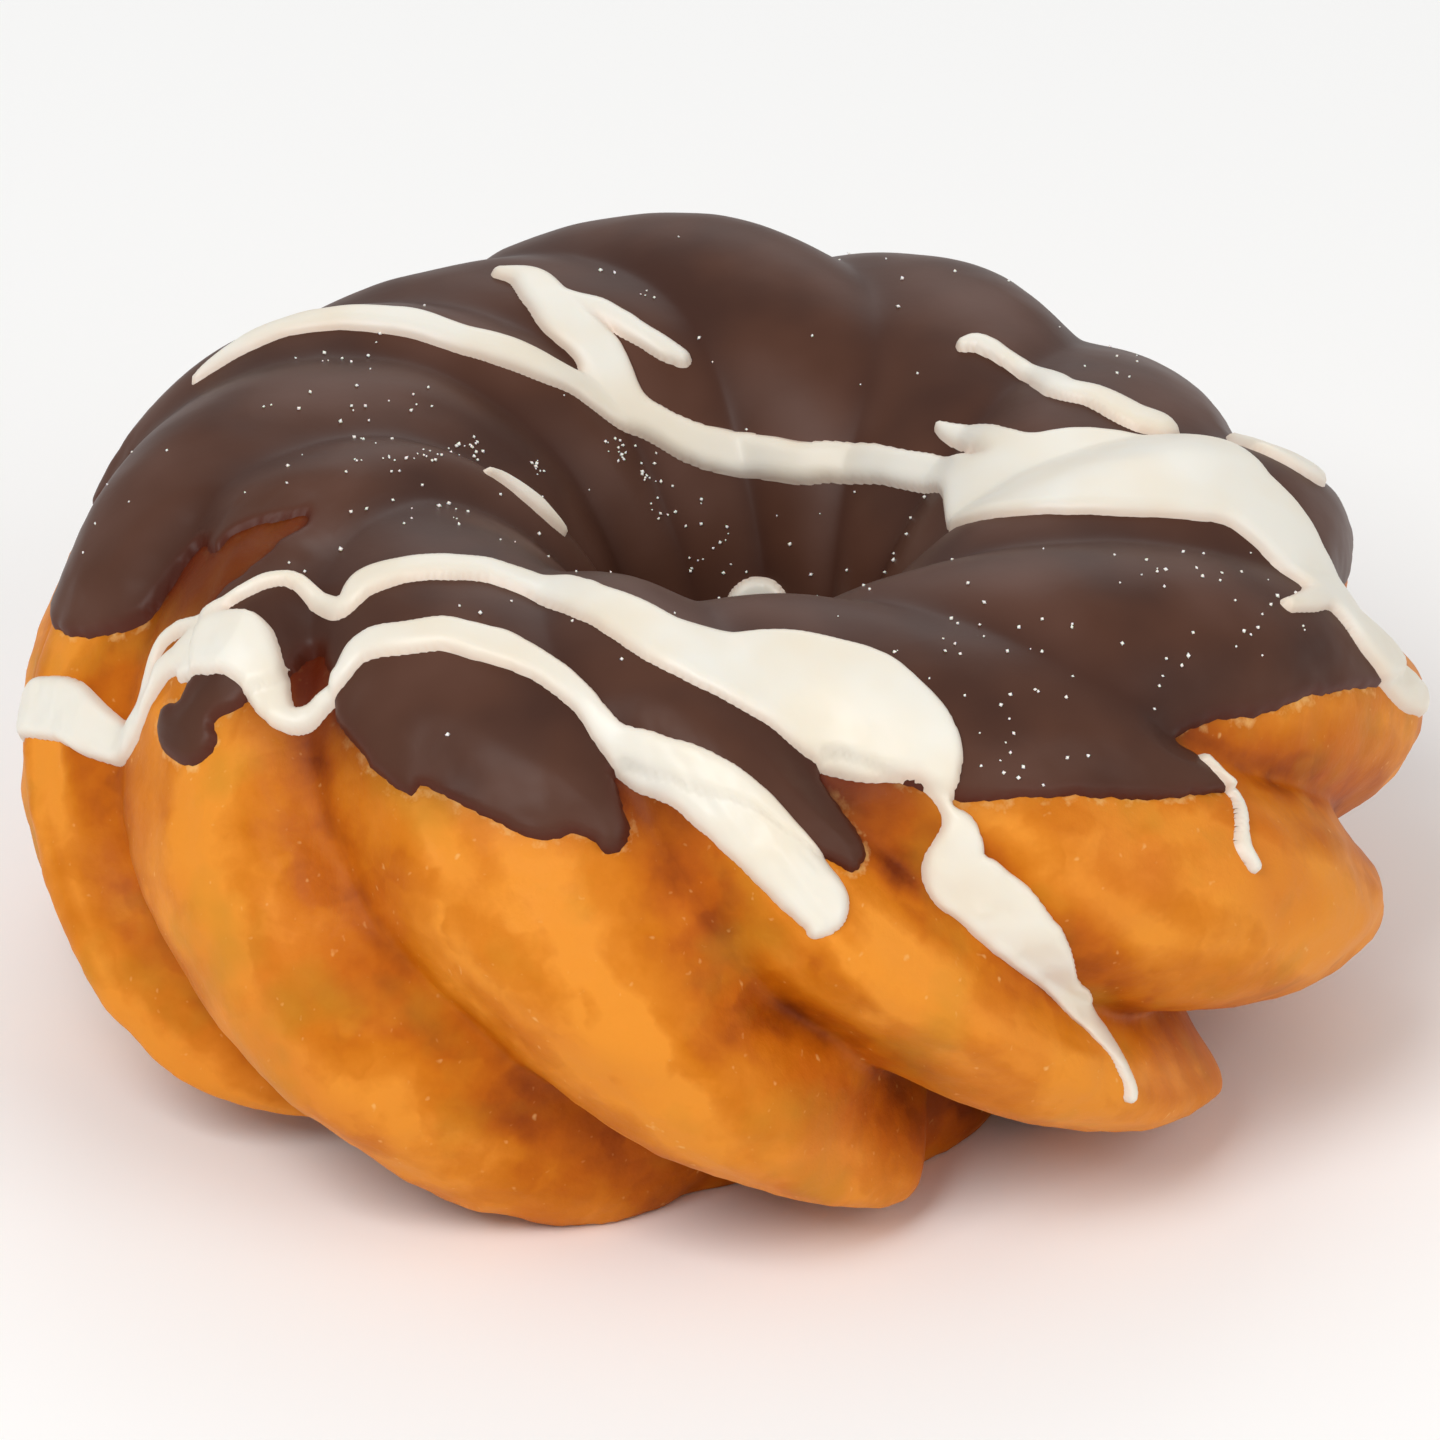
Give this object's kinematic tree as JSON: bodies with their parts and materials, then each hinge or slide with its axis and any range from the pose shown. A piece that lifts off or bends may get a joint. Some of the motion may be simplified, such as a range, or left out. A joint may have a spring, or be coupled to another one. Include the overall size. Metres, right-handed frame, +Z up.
{
  "type": "iced choux ring doughnut",
  "caption": "Twisted, deeply ridged ring of fried choux dough, its top dipped in chocolate icing and drizzled with white icing.",
  "frame": {"origin": "bottom centre of the part's box, on the surface that the ring rests on, in the middle of the hole", "axes": "+Z up out of the iced side, through the hole; -Y towards the side that the picture shows in front; +X to its right"},
  "size_m": [0.0948, 0.0925, 0.0414],
  "materials": {
    "fried_choux": "golden fried crust, slightly bumpy, with a thin glaze",
    "chocolate_icing": "set chocolate icing, satin",
    "white_icing": "set white icing, satin, slightly cream"
  },
  "bodies": {
    "root": {"choux_ring": "fried_choux", "chocolate_icing": "chocolate_icing"}
  },
  "joints": []
}
